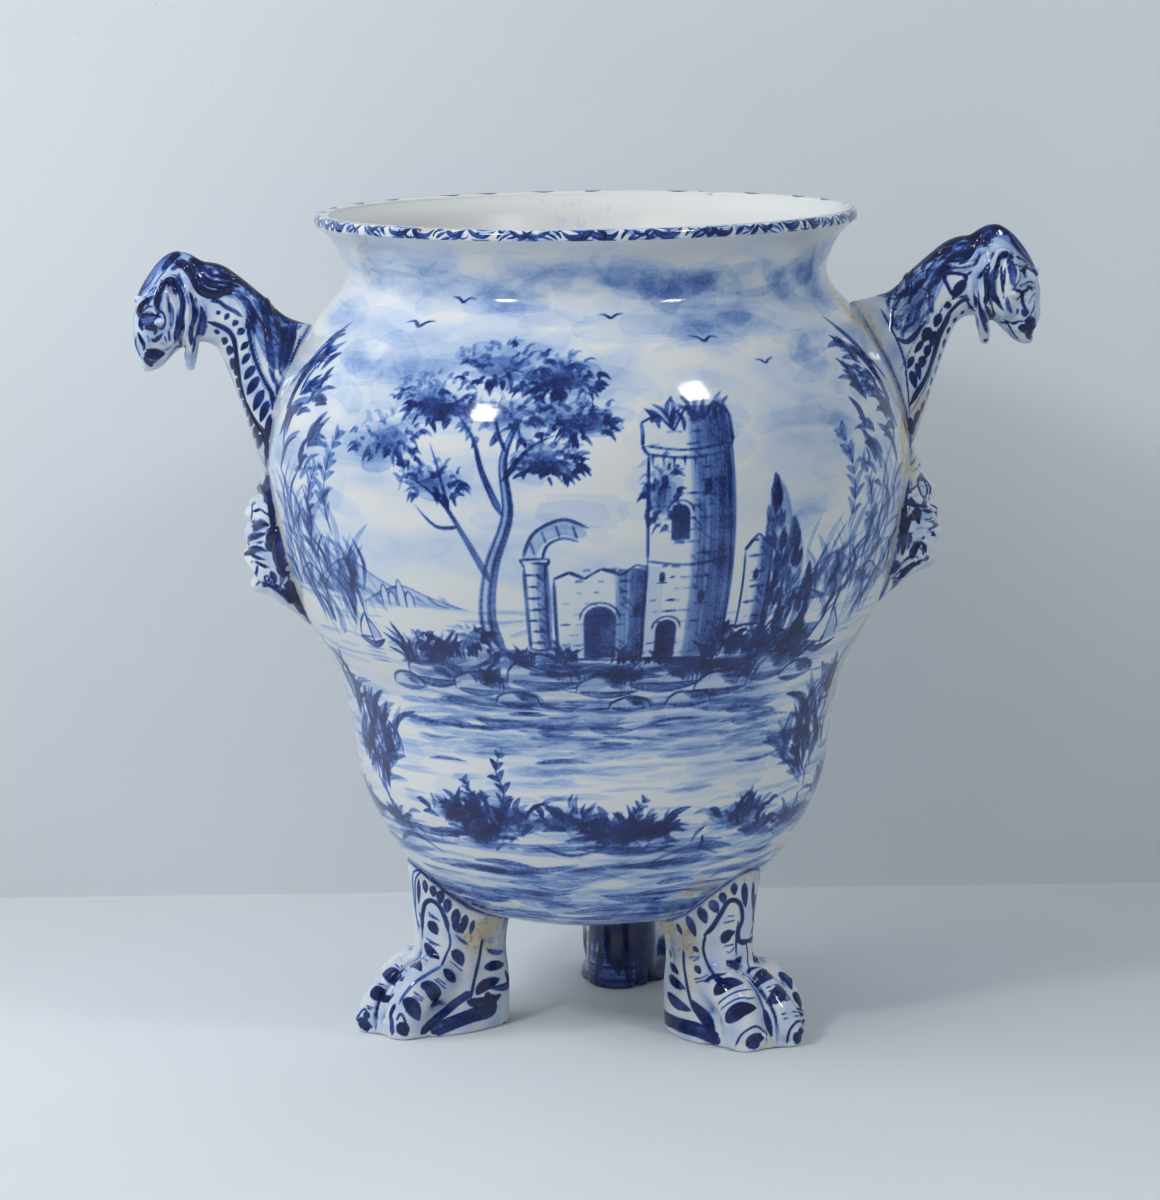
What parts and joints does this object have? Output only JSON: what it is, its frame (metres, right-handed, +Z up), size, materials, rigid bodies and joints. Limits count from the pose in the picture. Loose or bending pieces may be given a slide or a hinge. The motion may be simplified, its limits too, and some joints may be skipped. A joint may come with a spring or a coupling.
{
  "type": "footed ceramic vase",
  "caption": "Tin-glazed ceramic vase or cachepot with a flared rim, beast-head handles over relief masks, and lion-paw feet.",
  "frame": {"origin": "on the vase's turning axis, in the plane of the soles", "axes": "+Z up along the turning axis, -Y towards the painted front, +X towards the right handle"},
  "size_m": [0.5521, 0.391, 0.5],
  "materials": {
    "body_glaze": "glossy white tin glaze painted in cobalt blue",
    "handle_glaze": "glossy tin glaze with a dark cobalt wash",
    "mask_glaze": "glossy tin glaze with cobalt brush strokes",
    "foot_glaze": "glossy tin glaze with cobalt brush strokes and bare soles"
  },
  "bodies": {
    "root": {"vase_body": "body_glaze", "left_handle": "handle_glaze", "right_handle": "handle_glaze", "left_mask": "mask_glaze", "right_mask": "mask_glaze", "front_left_foot": "foot_glaze", "front_right_foot": "foot_glaze", "back_foot": "foot_glaze"}
  },
  "joints": []
}
